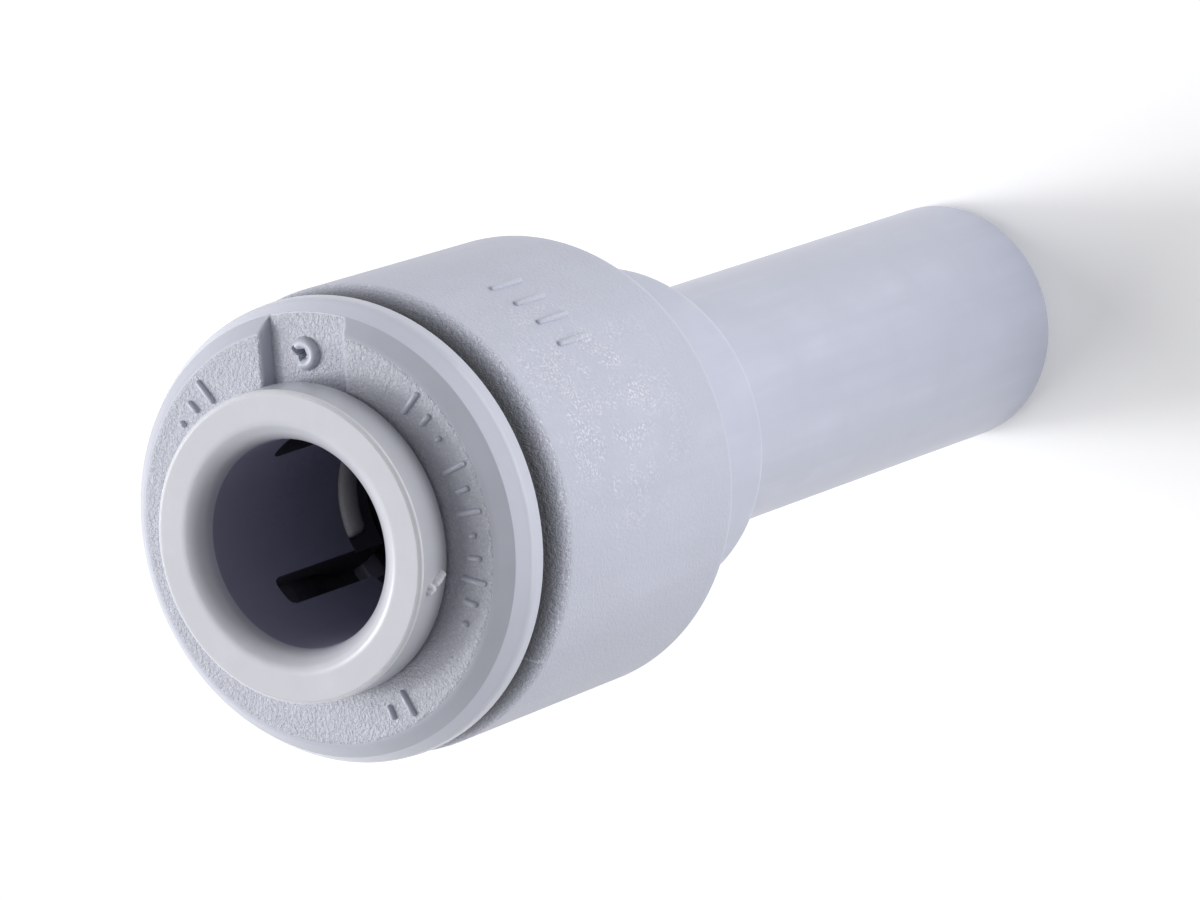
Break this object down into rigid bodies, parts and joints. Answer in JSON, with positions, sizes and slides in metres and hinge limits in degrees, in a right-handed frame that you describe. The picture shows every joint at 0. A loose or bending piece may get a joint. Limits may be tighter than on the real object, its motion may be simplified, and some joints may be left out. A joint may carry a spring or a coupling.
{
  "type": "stem reducer",
  "caption": "Push-in tube fitting with a plain stem at one end and, at the other, a wider round socket with an end cap and a sliding release collet.",
  "frame": {"origin": "centre of the stem's end face, on which the part stands", "axes": "+Z along the axis, from the stem's end to the socket's mouth; +X towards the gate pocket in the end cap"},
  "size_m": [0.0146, 0.0146, 0.0394],
  "materials": {
    "body": "fine spark-eroded texture, satin stem",
    "end_cap": "satin, textured face",
    "collet": "satin",
    "seal": "smooth",
    "teeth": "bright"
  },
  "bodies": {
    "housing": {"body": "body", "end_cap": "end_cap", "o_ring": "seal"},
    "collet": {"collet": "collet", "tooth_1": "teeth", "tooth_2": "teeth", "tooth_3": "teeth", "tooth_4": "teeth"}
  },
  "joints": [
    {"name": "collet_slide", "type": "slide", "parent": "housing", "child": "collet", "axis": [0, 0, 1], "range_m": [0, 0.0013]}
  ]
}
